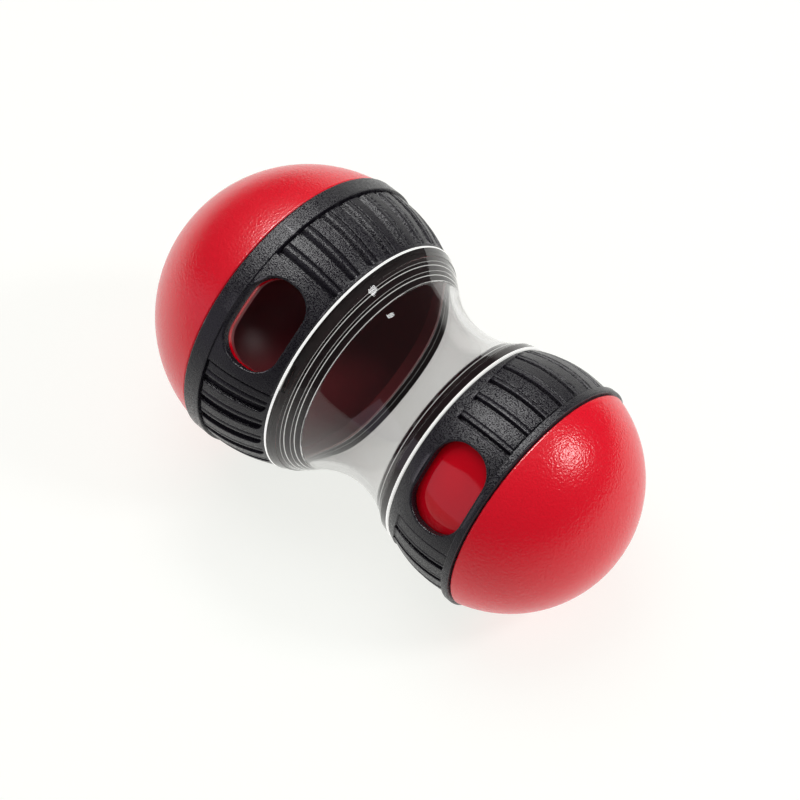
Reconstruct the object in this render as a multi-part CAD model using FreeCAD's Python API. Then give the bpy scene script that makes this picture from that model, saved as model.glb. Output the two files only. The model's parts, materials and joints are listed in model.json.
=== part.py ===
import FreeCAD, Part
import math
import os

os.makedirs("parts", exist_ok=True)

# A rolling treat dispenser: a clear waisted body between two red ball ends of unlike size. Each end
# is a dome fixed on a sleeve with an outlet window, and a black ribbed band turns on the sleeve to
# open or close that window. The object lies on both ends, big end at -X. Millimetres and degrees.
# Places along the axis, called s, are measured from a ball's centre towards the waist. Turns about
# the axis, called turns, are measured from up and run right-handed about the axis towards +X.

Vector = FreeCAD.Vector
ORIGIN = Vector(0, 0, 0)
AXIS = Vector(1, 0, 0)

# Balls and waist
ball_spacing = 79.5
waist_radius = 28.0

# Walls and fits
clear_wall = 2.2
dome_wall = 2.4
sleeve_wall = 2.8
band_wall = 2.45
running_gap = 0.3
lap_step = 1.1
lap_gap = 0.1
spigot_wall = 2.4
spigot_step = 0.5
spigot_length = 3.3
edge_round = 0.5

# How far a cutting shape reaches past what it cuts, and how deep an added block is rooted in its wall
cut_reach = 5.0
root_depth = 0.3

# Clear rims, with the terraces that step the bore down to the inside of the wall
flange_length = 3.3
flange_step = 0.2
terrace_count = 2
terrace_length = 1.5
terrace_step = 0.6

# Outlet windows
window_corner = 7.8
window_bevel = 0.4
window_cover = 4.0

# Grooves of the ribbed bands, by their depth below the top of the lands
line_depth = 0.6
groove_depth = 1.3
groove_tip = 2.2

# Turning stop between each band and its sleeve
stop_width = 6.0
stop_height = 1.1
stop_depth = 2.0
stop_play = 0.5

# Quarter-turn coupling between each sleeve and the clear body
coupling_count = 3
tab_width = 14.0
tab_height = 1.1
tab_thickness = 1.2
lug_width = 24.0
coupling_angle = 57.0
coupling_stop = 3.0
coupling_play = 1.0


class End:
    """One end of the object, with the sizes that differ between the two ends."""

    def __init__(self, centre, towards_waist, **sizes):
        self.centre = centre
        self.towards_waist = towards_waist
        self.__dict__.update(sizes)
        self.land_radius = self.ball_radius - self.land_drop
        self.plate_radius = self.land_radius + self.plate_proud
        self.collar_radius = self.ball_radius + self.collar_proud
        self.bore = self.land_radius - band_wall
        self.sleeve_radius = self.bore - running_gap
        self.sleeve_bore = self.sleeve_radius - sleeve_wall
        self.lap_radius = self.sleeve_radius - lap_step
        self.shoulder = self.band_back - running_gap
        self.rim = self.band_front + running_gap
        self.flange_radius = height_on_ball(self.ball_radius, self.rim) + self.flange_proud
        self.spigot_radius = height_on_ball(self.sleeve_radius, self.band_front) - spigot_step
        self.spigot_end = self.band_front + spigot_length
        self.mouth_radius = self.spigot_radius + running_gap
        self.close_turn = math.degrees((self.window_length + window_cover) / self.land_radius)

    def point(self, s, r):
        return Vector(self.centre + self.towards_waist * s, 0, r)

    def ribs_front(self, turn):
        """Where the ribbed field ends at one turn: a leaning edge draws back beside the window."""
        return self.field_front - self.field_lean * math.cos(math.radians(turn - self.window_turn))


def height_on_ball(radius, s):
    """Distance from the axis of a ball's surface at place s."""
    return math.sqrt(radius ** 2 - s ** 2)


def place_on_ball(radius, r):
    """Place along the axis where a ball's surface lies at distance r from it."""
    return math.sqrt(radius ** 2 - r ** 2)


def radial(turn):
    angle = math.radians(turn)
    return Vector(0, -math.sin(angle), math.cos(angle))


big = End(
    centre=0.0,
    towards_waist=1.0,
    ball_radius=45.0,
    land_drop=0.55,
    plate_proud=0.3,
    collar_proud=0.2,
    collar_front=0.0,
    field_front=19.6,
    field_lean=0.0,
    shoulder_raised=False,
    band_back=-5.7,
    band_front=20.7,
    flange_proud=0.15,
    window_length=27.2,
    window_height=17.0,
    window_place=9.4,
    window_turn=42.7,
    sleeve_offset=0.0,
    rib_count=30,
    plate_width=47.0,
    land_share=0.52,
    line_share=0.09,
    ridge_share=0.15,
    pointed=True,
)
small = End(
    centre=ball_spacing,
    towards_waist=-1.0,
    ball_radius=38.0,
    land_drop=1.2,
    plate_proud=0.35,
    collar_proud=-0.65,
    collar_front=-7.8,
    field_front=15.6,
    field_lean=5.2,
    shoulder_raised=True,
    band_back=-10.1,
    band_front=15.0,
    flange_proud=-0.68,
    window_length=26.6,
    window_height=17.1,
    window_place=1.35,
    window_turn=51.0,
    sleeve_offset=1.0,
    rib_count=27,
    plate_width=54.6,
    land_share=0.66,
    line_share=0.06,
    ridge_share=0.11,
    pointed=False,
)


class Profile:
    """Half of a round piece's section, drawn edge by edge from point to point."""

    def __init__(self, end, s, r):
        self.end = end
        self.first = end.point(s, r)
        self.last = self.first
        self.edges = []

    def line(self, s, r):
        target = self.end.point(s, r)
        self.edges.append(Part.LineSegment(self.last, target).toShape())
        self.last = target
        return self

    def ball(self, radius, s_from, s_to):
        """An arc about the ball's centre, which starts where the profile has got to."""
        start = math.asin(s_from / radius)
        stop = math.asin(s_to / radius)
        middle = (start + stop) / 2
        via = self.end.point(radius * math.sin(middle), radius * math.cos(middle))
        target = self.end.point(s_to, radius * math.cos(stop))
        self.edges.append(Part.Arc(self.last, via, target).toShape())
        self.last = target
        return self

    def arc(self, via, target):
        self.edges.append(Part.Arc(self.last, via, target).toShape())
        self.last = target
        return self

    def face(self):
        if (self.last - self.first).Length > 1e-6:
            self.edges.append(Part.LineSegment(self.last, self.first).toShape())
        return Part.Face(Part.Wire(self.edges))

    def turned(self, start=0.0, width=360.0):
        """The solid that the section sweeps from one turn on through a width."""
        section = self.face()
        section.rotate(ORIGIN, AXIS, start)
        return section.revolve(ORIGIN, AXIS, width)


def block(end, s_low, s_high, r_low, r_high, middle, width):
    """A piece of a ring with a rectangular section, centred on one turn."""
    section = Profile(end, s_low, r_low).line(s_low, r_high).line(s_high, r_high).line(s_high, r_low)
    return section.turned(middle - width / 2, width)


def round_edge(shape, end, s, r, radius):
    """Rounds the circular edge that passes through one point of the section."""
    corner = Part.Vertex(end.point(s, r))
    edges = [edge for edge in shape.Edges if edge.distToShape(corner)[0] < 1e-4 and is_circle(edge, r)]
    return shape.makeFillet(radius, edges)


def is_circle(edge, radius):
    return isinstance(edge.Curve, Part.Circle) and abs(edge.Curve.Radius - radius) < 1e-4


def window_wire(end, turn, distance, margin):
    """The outline of an outlet, a rounded rectangle square to its own radius."""
    half_height = end.window_height / 2 + margin
    half_length = end.window_length / 2 + margin
    corner = window_corner + margin
    out = radial(turn)
    across = radial(turn + 90)
    centre = end.point(end.window_place, 0) + out * distance

    def at(s, t):
        return centre + AXIS * s + across * t

    def corner_arc(sign_s, sign_t, first_along_s):
        middle_s = sign_s * (half_height - corner)
        middle_t = sign_t * (half_length - corner)
        on_s = at(sign_s * half_height, middle_t)
        on_t = at(middle_s, sign_t * half_length)
        slant = corner * math.sqrt(0.5)
        via = at(middle_s + sign_s * slant, middle_t + sign_t * slant)
        ends = (on_s, on_t) if first_along_s else (on_t, on_s)
        return Part.Arc(ends[0], via, ends[1]).toShape()

    signs = [(1, 1), (-1, 1), (-1, -1), (1, -1)]
    arcs = [corner_arc(sign_s, sign_t, sign_s == sign_t) for sign_s, sign_t in signs]
    edges = []
    for arc, following in zip(arcs, arcs[1:] + arcs[:1]):
        edges.append(arc)
        start = arc.valueAt(arc.LastParameter)
        stop = following.valueAt(following.FirstParameter)
        edges.append(Part.LineSegment(start, stop).toShape())
    return Part.Wire(edges)


def window_cut(end, turn):
    """The straight hole of an outlet through a wall."""
    wire = window_wire(end, turn, end.sleeve_bore / 2, 0)
    return Part.Face(wire).extrude(radial(turn) * end.ball_radius)


def window_bevel_cut(end, turn):
    """The slant that opens an outlet at the outer face of its band."""
    start = height_on_ball(end.plate_radius, end.window_height / 2) - window_bevel
    stop = end.plate_radius + 2 * window_bevel
    inner = window_wire(end, turn, start, 0)
    outer = window_wire(end, turn, stop, stop - start)
    return Part.makeLoft([inner, outer], True, True)


def dome(end):
    """Red ball cap with a thick rim, bored to take the sleeve's skirt."""
    inner = end.ball_radius - dome_wall
    bore_end = -place_on_ball(inner, end.lap_radius)
    profile = Profile(end, -end.ball_radius, 0)
    profile.ball(end.ball_radius, -end.ball_radius, end.shoulder)
    profile.line(end.shoulder, end.lap_radius).line(bore_end, end.lap_radius)
    profile.ball(inner, bore_end, -inner)
    shell = profile.turned()
    return round_edge(shell, end, end.shoulder, height_on_ball(end.ball_radius, end.shoulder), edge_round)


def sleeve(end):
    """Red sleeve with its outlet: a skirt in the dome, a seat for the band and a spigot at the waist."""
    inner = end.ball_radius - dome_wall
    skirt_end = running_gap - place_on_ball(inner, end.lap_radius)
    skirt_radius = end.lap_radius - lap_gap
    spigot_bore = end.spigot_radius - spigot_wall
    bore_end = place_on_ball(end.sleeve_bore, spigot_bore)
    groove_radius = end.spigot_radius - tab_height
    groove_end = end.rim + tab_thickness + running_gap
    root = groove_radius - root_depth
    profile = Profile(end, skirt_end, skirt_radius)
    profile.line(end.shoulder, skirt_radius).line(end.shoulder, end.sleeve_radius)
    profile.line(0, end.sleeve_radius).ball(end.sleeve_radius, 0, end.band_front)
    profile.line(end.band_front, groove_radius).line(end.spigot_end, groove_radius)
    profile.line(end.spigot_end, spigot_bore).line(bore_end, spigot_bore)
    profile.ball(end.sleeve_bore, bore_end, 0).line(skirt_end, end.sleeve_bore)
    body = profile.turned()
    lugs = [
        block(end, groove_end, end.spigot_end, root, end.spigot_radius, turn, lug_width)
        for turn in coupling_turns()
    ]
    away = end.towards_waist * (tab_width / 2 + coupling_play + coupling_stop / 2)
    lug_stops = [
        block(end, end.band_front, groove_end, root, end.spigot_radius, turn - away, coupling_stop)
        for turn in coupling_turns()
    ]
    stop_turn = end.window_turn + 180
    stop = block(
        end, end.shoulder, end.shoulder + stop_depth, end.sleeve_radius - root_depth,
        end.sleeve_radius + stop_height, stop_turn, stop_width,
    )
    outlet = window_cut(end, end.window_turn + end.sleeve_offset * end.close_turn)
    return body.fuse(lugs + lug_stops + [stop]).cut(outlet).removeSplitter()


def coupling_turns():
    return [coupling_angle + 360.0 / coupling_count * index for index in range(coupling_count)]


def rib_cut(end, start, width, depth, pointed):
    """One straight cut along the band, down to a ball-shaped floor."""
    middle = start + width / 2
    half = math.tan(math.radians(width / 2))
    s_from = end.collar_front
    s_to = end.ribs_front(middle)
    r_from = height_on_ball(end.land_radius, s_from)
    r_to = height_on_ball(end.land_radius, s_to)
    across = radial(middle + 90)
    foot_radius = min(r_from, r_to) - cut_reach
    foot = radial(middle) * foot_radius

    def at(s, t):
        return end.point(s, 0) + foot + across * t

    corners = [at(s_from, -half * r_from), at(s_from, half * r_from)]
    if pointed:
        corners += [at(s_to - groove_tip, half * r_to), at(s_to, 0), at(s_to - groove_tip, -half * r_to)]
    else:
        corners += [at(s_to, half * r_to), at(s_to, -half * r_to)]
    outline = Part.makePolygon(corners + corners[:1])
    bar = Part.Face(outline).extrude(radial(middle) * (end.ball_radius + cut_reach - foot_radius))
    return bar.cut(Part.makeSphere(end.land_radius - depth, end.point(0, 0), AXIS))


def rib_cuts(end):
    """The cuts round the band: after each land come a fine line, a narrow ridge and a deep groove."""
    period = (360.0 - end.plate_width) / end.rib_count
    first = end.window_turn + end.plate_width / 2
    line = end.line_share * period
    groove_start = (end.land_share + end.line_share + end.ridge_share) * period
    cuts = []
    for index in range(end.rib_count):
        start = first + period * index
        cuts.append(rib_cut(end, start + end.land_share * period, line, line_depth, False))
        cuts.append(rib_cut(end, start + groove_start, period - groove_start, groove_depth, end.pointed))
    return cuts


def field_cut(end):
    """The shallow field between the smooth edges of the band, all round but for the window's plate."""
    low = end.collar_front
    high = end.band_front + cut_reach
    outer = end.ball_radius + cut_reach
    profile = Profile(end, low, height_on_ball(end.land_radius, low)).ball(end.land_radius, low, high)
    profile.line(high, outer).line(low, outer)
    field = profile.turned(end.window_turn + end.plate_width / 2, 360.0 - end.plate_width)
    if end.shoulder_raised:
        field = field.cut(past_the_shoulder(end, outer))
    return field


def past_the_shoulder(end, radius):
    """All that lies on the waist's side of the leaning plane in which the ribbed field ends."""
    turns = (end.window_turn, end.window_turn + 120, end.window_turn + 240)
    marks = [end.point(end.ribs_front(turn), 0) + radial(turn) * radius for turn in turns]
    across = (marks[1] - marks[0]).cross(marks[2] - marks[0])
    if across.x * end.towards_waist < 0:
        across = -across
    middle = end.point(end.field_front, 0)
    return Part.makeCylinder(2 * radius, 2 * radius, middle, across)


def band(end):
    """Black band that turns on the sleeve, with its ribbed field, smooth plate and outlet."""
    profile = Profile(end, end.band_back, end.bore).line(end.band_back, end.collar_radius)
    profile.line(end.collar_front, end.collar_radius)
    profile.line(end.collar_front, height_on_ball(end.plate_radius, end.collar_front))
    profile.ball(end.plate_radius, end.collar_front, end.band_front)
    profile.line(end.band_front, height_on_ball(end.bore, end.band_front))
    profile.ball(end.bore, end.band_front, 0)
    blank = profile.turned()
    blank = round_edge(blank, end, end.band_back, end.collar_radius, edge_round)
    stop_room = block(
        end, end.band_back - cut_reach, end.shoulder + stop_depth + running_gap, end.bore - cut_reach,
        end.sleeve_radius + stop_height + running_gap,
        end.window_turn + 180 - end.close_turn / 2,
        end.close_turn + stop_width + 2 * stop_play,
    )
    outlet = [window_cut(end, end.window_turn), window_bevel_cut(end, end.window_turn)]
    cuts = [field_cut(end), stop_room] + outlet
    return blank.cut(cuts).cut(Part.makeCompound(rib_cuts(end))).removeSplitter()


def neck_arc():
    """Radius of the arc that joins both balls at the waist, and its reach from each ball's centre."""
    low, high = 1.0, 500.0
    while high - low > 1e-9:
        radius = (low + high) / 2
        reach = {
            end: place_on_ball(end.ball_radius + radius, waist_radius + radius) for end in (big, small)
        }
        if sum(reach.values()) < ball_spacing:
            low = radius
        else:
            high = radius
    return radius, reach


class ClearWall:
    """A face of the clear wall, at a depth below the outer one: a ball zone at each end and the neck."""

    def __init__(self, depth):
        self.depth = depth
        self.neck_radius, self.reach = neck_arc()

    def join(self, end):
        """Where the ball zone goes over into the neck."""
        return (end.ball_radius - self.depth) * self.reach[end] / (end.ball_radius + self.neck_radius)

    def height(self, end, s):
        if s < self.join(end):
            return height_on_ball(end.ball_radius - self.depth, s)
        neck = self.neck_radius + self.depth
        return waist_radius + self.neck_radius - height_on_ball(neck, self.reach[end] - s)

    def draw(self, profile, start, s_start, stop, s_stop):
        """Draws the face from a place near one end to a place near the other."""
        if s_start < self.join(start):
            profile.ball(start.ball_radius - self.depth, s_start, self.join(start))
        waist = Vector(self.reach[big], 0, waist_radius - self.depth)
        s_neck = max(s_stop, self.join(stop))
        profile.arc(waist, stop.point(s_neck, self.height(stop, s_neck)))
        profile.end = stop
        if s_stop < s_neck:
            profile.ball(stop.ball_radius - self.depth, s_neck, s_stop)


def mouth_corners(end, wall):
    """The stepped bore of a clear mouth, from the sleeve's seat down to the inside of the wall."""
    s = end.rim + spigot_length
    corners = [(s, end.mouth_radius)]
    for index in range(terrace_count):
        r = wall.height(end, s + terrace_length) + terrace_step
        corners += [(s, r), (s + terrace_length, r)]
        s += terrace_length
    return corners + [(s, wall.height(end, s))]


def clear_body():
    """Clear body: two ball zones joined through the waist, with a stepped mouth at each end."""
    outside = ClearWall(0)
    inside = ClearWall(clear_wall)
    big_flange = big.rim + flange_length
    small_flange = small.rim + flange_length
    big_mouth = mouth_corners(big, inside)
    small_mouth = mouth_corners(small, inside)

    profile = Profile(big, big.rim, big.mouth_radius).line(big.rim, big.flange_radius)
    corner = outside.height(big, big_flange)
    profile.line(big_flange, corner + flange_step).line(big_flange, corner)
    outside.draw(profile, big, big_flange, small, small_flange)
    profile.line(small_flange, outside.height(small, small_flange) + flange_step)
    profile.line(small.rim, small.flange_radius).line(small.rim, small.mouth_radius)
    for s, r in small_mouth:
        profile.line(s, r)
    inside.draw(profile, small, small_mouth[-1][0], big, big_mouth[-1][0])
    for s, r in reversed(big_mouth[:-1]):
        profile.line(s, r)
    tabs = [
        block(
            end, end.rim, end.rim + tab_thickness, end.mouth_radius - tab_height,
            end.mouth_radius + root_depth, turn, tab_width,
        )
        for end in (big, small) for turn in coupling_turns()
    ]
    return profile.turned().fuse(tabs).removeSplitter()


def resting_place():
    """Tips the axis until the big collar's edge and the small collar's round lie on the floor."""
    big_edge = big.point(big.collar_front, big.collar_radius)
    small_edge = small.point(small.band_back + edge_round, small.collar_radius - edge_round)
    apart = small_edge - big_edge
    tilt = math.atan2(-apart.z, apart.x) - math.asin(edge_round / apart.Length)
    height = big_edge.z * math.cos(tilt) + big_edge.x * math.sin(tilt)
    middle = (ball_spacing * math.cos(tilt) + small.ball_radius - big.ball_radius) / 2
    turn = FreeCAD.Rotation(Vector(0, 1, 0), math.degrees(tilt))
    return FreeCAD.Placement(Vector(-middle, 0, height), turn)


pieces = {"clear_body": clear_body()}
for name, end in (("big", big), ("small", small)):
    pieces[name + "_dome"] = dome(end)
    pieces[name + "_sleeve"] = sleeve(end)
    pieces[name + "_band"] = band(end)

place = resting_place()
for name, shape in pieces.items():
    shape.Placement = place.multiply(shape.Placement)
    shape.exportStep("parts/" + name + ".step")
    print(name, "solids", len(shape.Solids), "faces", len(shape.Faces), "volume", round(shape.Volume))
for end in (big, small):
    centre = place.multVec(end.point(0, 0))
    print("ball centre", round(centre.x, 5), round(centre.z, 5))
axis_rest = place.Rotation.multVec(AXIS)
print("axis", round(axis_rest.x, 7), round(axis_rest.z, 7))
print("closing turns", round(big.close_turn, 4), round(small.close_turn, 4))
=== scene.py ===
# %% [markdown]
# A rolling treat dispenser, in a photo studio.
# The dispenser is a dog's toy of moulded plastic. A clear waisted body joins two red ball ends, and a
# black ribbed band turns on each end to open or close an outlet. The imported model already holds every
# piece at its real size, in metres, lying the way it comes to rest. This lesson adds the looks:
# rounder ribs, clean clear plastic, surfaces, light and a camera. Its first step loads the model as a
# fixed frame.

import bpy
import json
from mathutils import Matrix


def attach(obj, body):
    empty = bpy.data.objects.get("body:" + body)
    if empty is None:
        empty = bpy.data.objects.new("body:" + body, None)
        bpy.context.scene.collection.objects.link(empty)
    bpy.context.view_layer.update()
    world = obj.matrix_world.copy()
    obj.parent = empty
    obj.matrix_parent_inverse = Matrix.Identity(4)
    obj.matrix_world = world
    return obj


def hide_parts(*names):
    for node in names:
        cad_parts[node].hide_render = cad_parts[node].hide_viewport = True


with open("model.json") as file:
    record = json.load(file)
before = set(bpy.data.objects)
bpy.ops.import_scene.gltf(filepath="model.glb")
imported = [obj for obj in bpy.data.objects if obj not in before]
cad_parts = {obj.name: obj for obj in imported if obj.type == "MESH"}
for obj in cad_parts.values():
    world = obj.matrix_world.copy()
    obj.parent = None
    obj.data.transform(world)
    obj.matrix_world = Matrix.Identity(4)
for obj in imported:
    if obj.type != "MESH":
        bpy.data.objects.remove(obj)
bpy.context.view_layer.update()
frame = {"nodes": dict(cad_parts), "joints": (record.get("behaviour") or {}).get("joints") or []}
nodes = frame["nodes"]

# %% Everything else that the lesson needs
import json
import math

import bmesh
import bpy
from mathutils import Matrix, Vector

print("Blender", bpy.app.version_string)

# %% [markdown]
# All the pieces are round about one axis, which tips down a little towards the small end, because the
# two ends differ in size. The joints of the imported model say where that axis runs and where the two
# ball centres lie, so nothing is measured twice. A place on a piece is then given by three plain
# numbers: s, how far along the axis from a ball's centre towards the waist; r, how far out from the
# axis; and a turn about the axis, in degrees from the top.

# %% The turning axis
MM = 0.001
joints = {joint["name"]: joint for joint in frame["joints"]}
AXIS = Vector(joints["big_outlet"]["axis"]).normalized()
SIDE = Vector((0, -1, 0))
UP = SIDE.cross(AXIS)
BIG_CENTRE = Vector(joints["big_outlet"]["pos_m"])
SMALL_CENTRE = Vector(joints["small_outlet"]["pos_m"])
SPACING = (SMALL_CENTRE - BIG_CENTRE).length


def radial(turn):
    """The direction straight out from the axis at a turn."""
    angle = math.radians(turn)
    return UP * math.cos(angle) + SIDE * math.sin(angle)


print("axis", [round(v, 3) for v in AXIS], "balls", round(SPACING / MM, 1), "mm apart")

# %% [markdown]
# The clear body and the two bands are made again in this lesson, finer than a CAD model should be, so
# their sizes are wanted here too. They are the sizes of the real pieces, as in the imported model. What
# both ends share is written once, and a small class keeps what differs and works out the rest.
# A few words are used all through. A band's collar runs round its edge at the dome, its plate frames
# the outlet, its field is the ribbed rest, and a land is the flat top between two grooves. A spigot
# is the part of a sleeve that plugs into a mouth of the clear body, and the flange is that mouth's rim.

# %% Sizes that both ends share
WAIST_RADIUS = 28.0 * MM
CLEAR_WALL = 2.2 * MM
BAND_WALL = 2.45 * MM
SLEEVE_WALL = 2.8 * MM
GAP = 0.3 * MM
SPIGOT_STEP = 0.5 * MM
SPIGOT_LENGTH = 3.3 * MM
FLANGE_LENGTH = 3.3 * MM
FLANGE_STEP = 0.2 * MM
TERRACE_STEP = 0.6 * MM
TERRACES = 2
print("waist", round(2 * WAIST_RADIUS / MM, 1), "mm, clear wall", round(CLEAR_WALL / MM, 1), "mm")


# %% One end of the dispenser
def height_on_ball(radius, s):
    """How far from the axis the surface of a ball lies, at a place s along it."""
    return math.sqrt(radius ** 2 - s ** 2)


class End:
    """Sizes of one end, in metres, with turns in degrees."""

    def __init__(self, centre, towards_waist, lengths, **others):
        self.centre = centre
        self.along = AXIS * towards_waist
        for name, value in lengths.items():
            setattr(self, name, value * MM)
        for name, value in others.items():
            setattr(self, name, value)
        self.land_radius = self.ball_radius - self.land_drop
        self.plate_radius = self.land_radius + self.plate_proud
        self.collar_radius = self.ball_radius + self.collar_proud
        self.bore = self.land_radius - BAND_WALL
        self.sleeve_radius = self.bore - GAP
        self.shoulder = self.band_back - GAP
        self.rim = self.band_front + GAP
        self.flange_radius = height_on_ball(self.ball_radius, self.rim) + self.flange_proud
        self.spigot_radius = height_on_ball(self.sleeve_radius, self.band_front) - SPIGOT_STEP
        self.mouth_radius = self.spigot_radius + GAP

    def point(self, s, r, turn):
        return self.centre + self.along * s + radial(turn) * r


# %% The sizes of both ends
big = End(
    BIG_CENTRE, 1,
    dict(
        ball_radius=45.0, land_drop=0.55, plate_proud=0.3, collar_proud=0.2, collar_front=0.0,
        field_front=20.1, field_lean=0.0, band_back=-5.7, band_front=20.7, flange_proud=0.15,
        window_length=27.2, window_height=17.0, window_place=9.4, terrace_length=2.2,
    ),
    window_turn=42.7, rib_count=30, plate_width=47.0, close_turn=40.2,
    shoulder_raised=0.0, pointed=True, land_share=0.41, crest=0.245,
    valley=(
        (0.010, 0.48), (0.030, 0.55), (0.055, 0.40), (0.095, 0.20), (0.145, 0.09), (0.200, 0.07),
        (0.245, 0.15), (0.300, 0.42), (0.360, 0.92), (0.400, 1.20), (0.440, 1.30), (0.560, 1.30),
    ),
)
small = End(
    SMALL_CENTRE, -1,
    dict(
        ball_radius=38.0, land_drop=1.2, plate_proud=0.35, collar_proud=-0.65, collar_front=-7.8,
        field_front=15.6, field_lean=5.2, band_back=-10.1, band_front=15.0, flange_proud=-0.68,
        window_length=26.6, window_height=17.1, window_place=1.35, terrace_length=1.4,
    ),
    window_turn=51.0, rib_count=27, plate_width=54.6, close_turn=47.6,
    shoulder_raised=1.0, pointed=False, land_share=0.62, crest=0.175,
    valley=(
        (0.008, 0.20), (0.025, 0.28), (0.045, 0.20), (0.080, 0.09), (0.125, 0.06), (0.165, 0.10),
        (0.195, 0.40), (0.220, 0.90), (0.245, 1.22), (0.270, 1.30), (0.355, 1.30),
    ),
)
print("land radii", round(big.land_radius / MM, 2), round(small.land_radius / MM, 2), "mm")

# %% [markdown]
# A round piece of plastic never has a knife edge, because the mould's corners are slightly round, and
# that small round is what catches the light as a thin bright line. Bevelling a finished mesh is one
# way to get it. Here the half-section is drawn first, as a list of corners that each carry a rounding,
# and the corners are rounded before the section is turned about the axis. Every corner gives the same
# number of points, so that neighbouring sections always match, even where one of them has a step.

# %% Round the corners of a section
ROUND_STEPS = 3
NO_LENGTH = 0.01 * MM
NO_ANGLE = 0.01
MOST_OF_SIDE = 0.45


def corner(s, r, rounding=0.0, turn=0.0):
    """A corner of a section. Its rounding is given in millimetres, as on a drawing."""
    return (s, r, turn, rounding * MM)


def between(start, stop, part):
    return tuple(a + (b - a) * part for a, b in zip(start[:3], stop[:3]))


def rounded(corners):
    """The closed section with a curve in place of each corner that has a rounding."""
    points = []
    for index, here in enumerate(corners):
        if here[3] == 0:
            points.append(here[:3])
            continue
        back, ahead = corners[index - 1], corners[(index + 1) % len(corners)]
        to_back = Vector((back[0] - here[0], back[1] - here[1]))
        to_ahead = Vector((ahead[0] - here[0], ahead[1] - here[1]))
        shortest = min(to_back.length, to_ahead.length)
        if shortest < NO_LENGTH:
            points += [here[:3]] * (ROUND_STEPS + 1)
            continue
        half = to_back.angle(to_ahead) / 2
        reach = MOST_OF_SIDE * shortest
        if half > NO_ANGLE:
            reach = min(here[3] / math.tan(half), reach)
        start = between(here, back, reach / to_back.length)
        stop = between(here, ahead, reach / to_ahead.length)
        for step in range(ROUND_STEPS + 1):
            part = step / ROUND_STEPS
            points.append(between(between(start, here, part), between(here, stop, part), part))
    return points


print("a rounded corner has", ROUND_STEPS + 1, "points")

# %% Make a closed piece from places and faces
WELD = 0.0001 * MM


def closed_piece(name, places, faces):
    """A new object, with places that coincide joined and all its faces turned outwards."""
    mesh = bpy.data.meshes.new(name)
    mesh.from_pydata(places, [], faces)
    work = bmesh.new()
    work.from_mesh(mesh)
    bmesh.ops.remove_doubles(work, verts=work.verts, dist=WELD)
    bmesh.ops.recalc_face_normals(work, faces=work.faces)
    work.to_mesh(mesh)
    work.free()
    piece = bpy.data.objects.new(name, mesh)
    bpy.context.scene.collection.objects.link(piece)
    return piece


def round_piece(name, sections):
    """A closed ring of sections, each a list of places in space with the same number of them."""
    count = len(sections[0])
    places = [place for section in sections for place in section]
    faces = []
    for index in range(len(sections)):
        here = index * count
        there = (index + 1) % len(sections) * count
        for step in range(count):
            after = (step + 1) % count
            faces.append((here + step, there + step, there + after, here + after))
    return closed_piece(name, places, faces)


# %% [markdown]
# A moulding's surface is smooth, but its mesh is made of flat faces. Smooth shading hides them, and two
# things are kept from it: edges that really are sharp, and large flat faces, which would look puffed up
# beside a small round. An angle decides what is sharp, and weights let the large faces lead.

# %% Smooth shading
FLAT_WEIGHT = 80


def smooth(mesh, sharp_from):
    """Blend the faces into each other, but keep the edges that bend by more than an angle."""
    mesh.polygons.foreach_set("use_smooth", [True] * len(mesh.polygons))
    mesh.set_sharp_from_angle(angle=math.radians(sharp_from))


def shade(piece, sharp_from):
    """Smooth shading that lets large faces keep their flat look beside small rounds."""
    smooth(piece.data, sharp_from)
    weights = piece.modifiers.new("flat faces lead", "WEIGHTED_NORMAL")
    weights.keep_sharp = True
    weights.weight = FLAT_WEIGHT


# %% [markdown]
# Some steps run only part of the way round: the coupling tabs inside the clear mouths, and the room
# for the turning stop inside each band. Where such a step begins, the same turn is there twice, once
# for each side of the step, and the two sections give the step its flat end wall.

# %% Turns with a step in them
HAIR = 1e-4


def inside(turn, spans):
    """Whether a turn lies in one of the spans, each given by its start and its width."""
    return any((turn - start) % 360 < width for start, width in spans)


def stepped_turns(count, spans):
    """Turns all round, each with whether it lies in a span, and both at a span's edge."""
    marks = {index * 360 / count for index in range(count)}
    for start, width in spans:
        marks.update((start % 360, (start + width) % 360))
    turns = []
    for turn in sorted(marks):
        before, after = inside(turn - HAIR, spans), inside(turn + HAIR, spans)
        turns.append((turn, before))
        if after != before:
            turns.append((turn, after))
    return turns


print("three turns and a step", stepped_turns(3, [(130, 20)]))

# %% [markdown]
# The clear body is moulded clear plastic: two ball zones joined by a hollow neck, with a thick stepped
# mouth at each end that the red sleeve plugs into. Glass-like plastic shows every flaw of its mesh,
# because light bends at each face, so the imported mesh, made of long thin triangles, looks scratched.
# Turning a smooth section is the cleanest way to make it. The neck is an arc that touches both balls,
# and a short search finds its radius.

# %% The neck's arc
SHORTEST_ARC, LONGEST_ARC = 1 * MM, 500 * MM
CLOSE_ENOUGH = 1e-9


def reach_of_neck(end, radius):
    """How far from an end's ball centre the waist lies, if the arc has this radius."""
    return math.sqrt((end.ball_radius + radius) ** 2 - (WAIST_RADIUS + radius) ** 2)


def find_neck_radius():
    """Halve the range again and again, towards the arc that just spans the two ball centres."""
    low, high = SHORTEST_ARC, LONGEST_ARC
    while high - low > CLOSE_ENOUGH:
        middle = (low + high) / 2
        if reach_of_neck(big, middle) + reach_of_neck(small, middle) < SPACING:
            low = middle
        else:
            high = middle
    return middle


NECK_RADIUS = find_neck_radius()
WAIST_PLACE = reach_of_neck(big, NECK_RADIUS)
print("neck arc", round(NECK_RADIUS / MM, 2), "mm, waist", round(WAIST_PLACE / MM, 2), "mm from the ball")


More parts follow.
